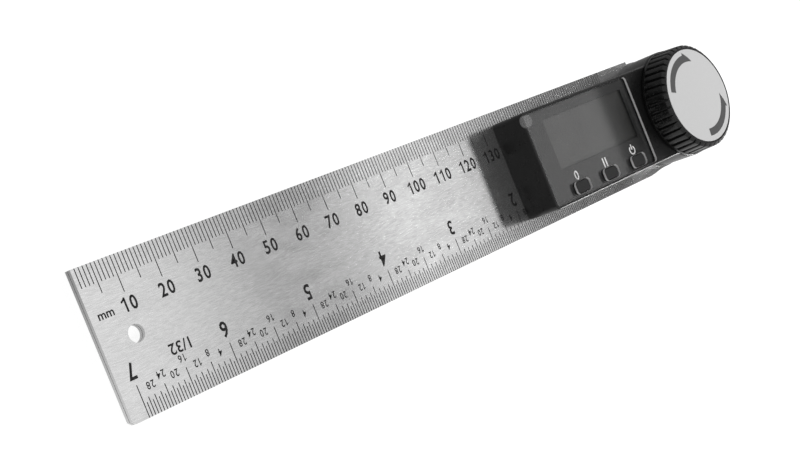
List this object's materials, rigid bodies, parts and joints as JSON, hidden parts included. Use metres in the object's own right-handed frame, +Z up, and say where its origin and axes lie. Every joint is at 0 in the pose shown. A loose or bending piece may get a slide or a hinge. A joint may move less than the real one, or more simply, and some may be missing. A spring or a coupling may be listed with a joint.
{
  "type": "angle finder",
  "caption": "Digital angle finder rule: graduated steel blades on a common pivot, readout housing with keys on the upper blade, ribbed lock knob over the pivot and a hanging hole.",
  "frame": {"origin": "on the pivot axis, in the plane of the lower blade's back face", "axes": "+X along the closed blades from the pivot to the free end, +Y towards the inch edge, +Z up from the lower blade's back face through the housing and the knob"},
  "size_m": [0.218, 0.0344, 0.0211],
  "materials": {
    "blade_steel": "long brushed satin stainless steel",
    "turned_steel": "turned stainless steel",
    "spring_steel": "hardened spring steel",
    "bronze": "turned bronze",
    "brass": "turned brass",
    "slip_plastic": "white low-friction plastic sheet",
    "case_black": "gloss black moulded plastic",
    "chassis_black": "matte black moulded plastic",
    "knob_black": "satin black moulded plastic",
    "window_clear": "clear acrylic",
    "film_print": "dark grey printed film",
    "lcd_grey": "grey reflective display",
    "holder_white": "white moulded plastic",
    "contact_rubber": "layered conductive rubber",
    "board_green": "green lacquered circuit board",
    "chip_black": "black epoxy",
    "switch_body": "black moulded plastic",
    "plunger_white": "white moulded plastic",
    "key_grey": "dark grey moulded keys",
    "cell_steel": "nickel-plated steel can",
    "contact_nickel": "nickel-plated spring strip",
    "cap_black": "matte black moulded plastic",
    "seal_rubber": "black rubber",
    "screw_steel": "zinc-plated steel",
    "label_silver": "satin silver disc"
  },
  "bodies": {
    "housing_arm": {"upper_blade": "blade_steel", "bearing_bush": "bronze", "rear_chassis": "chassis_black", "front_case": "case_black", "display_window": "window_clear", "printed_film": "film_print", "lcd_glass": "lcd_grey", "lcd_holder": "holder_white", "lcd_connectors": "contact_rubber", "main_board": "board_green", "measuring_chip": "chip_black", "push_switches": "switch_body", "coin_cell": "cell_steel", "contact_leaf": "contact_nickel", "contact_strip": "contact_nickel", "case_screws": "screw_steel", "board_screws": "screw_steel", "clamp_washer": "turned_steel"},
    "swing_arm": {"lower_blade": "blade_steel", "pivot_spindle": "turned_steel", "slip_washer": "slip_plastic", "disc_spring": "spring_steel", "retaining_ring": "spring_steel", "encoder_rotor": "board_green"},
    "knob": {"lock_knob": "knob_black", "knob_nut": "brass", "knob_label": "label_silver"},
    "cell_cap": {"battery_cap": "cap_black", "battery_seal": "seal_rubber"},
    "zero_key": {"zero_button": "key_grey", "zero_plunger": "plunger_white"},
    "hold_key": {"hold_button": "key_grey", "hold_plunger": "plunger_white"},
    "power_key": {"power_button": "key_grey", "power_plunger": "plunger_white"}
  },
  "joints": [
    {"name": "arm_swing", "type": "hinge", "parent": "housing_arm", "child": "swing_arm", "pos_m": [0, 0, 0], "axis": [0, 0, 1], "continuous": true},
    {"name": "knob_turn", "type": "hinge", "parent": "swing_arm", "child": "knob", "pos_m": [0, 0, 0.0135], "axis": [0, 0, 1], "range_deg": [0, 120]},
    {"name": "cell_cap_turn", "type": "hinge", "parent": "housing_arm", "child": "cell_cap", "pos_m": [0.0402, 0, 0.0012], "axis": [0, 0, 1], "range_deg": [0, 60]},
    {"name": "zero_press", "type": "slide", "parent": "housing_arm", "child": "zero_key", "axis": [0, 0, -1], "range_m": [0, 0.00025], "stiffness_N_per_m": 1200},
    {"name": "hold_press", "type": "slide", "parent": "housing_arm", "child": "hold_key", "axis": [0, 0, -1], "range_m": [0, 0.00025], "stiffness_N_per_m": 1200},
    {"name": "power_press", "type": "slide", "parent": "housing_arm", "child": "power_key", "axis": [0, 0, -1], "range_m": [0, 0.00025], "stiffness_N_per_m": 1200}
  ]
}
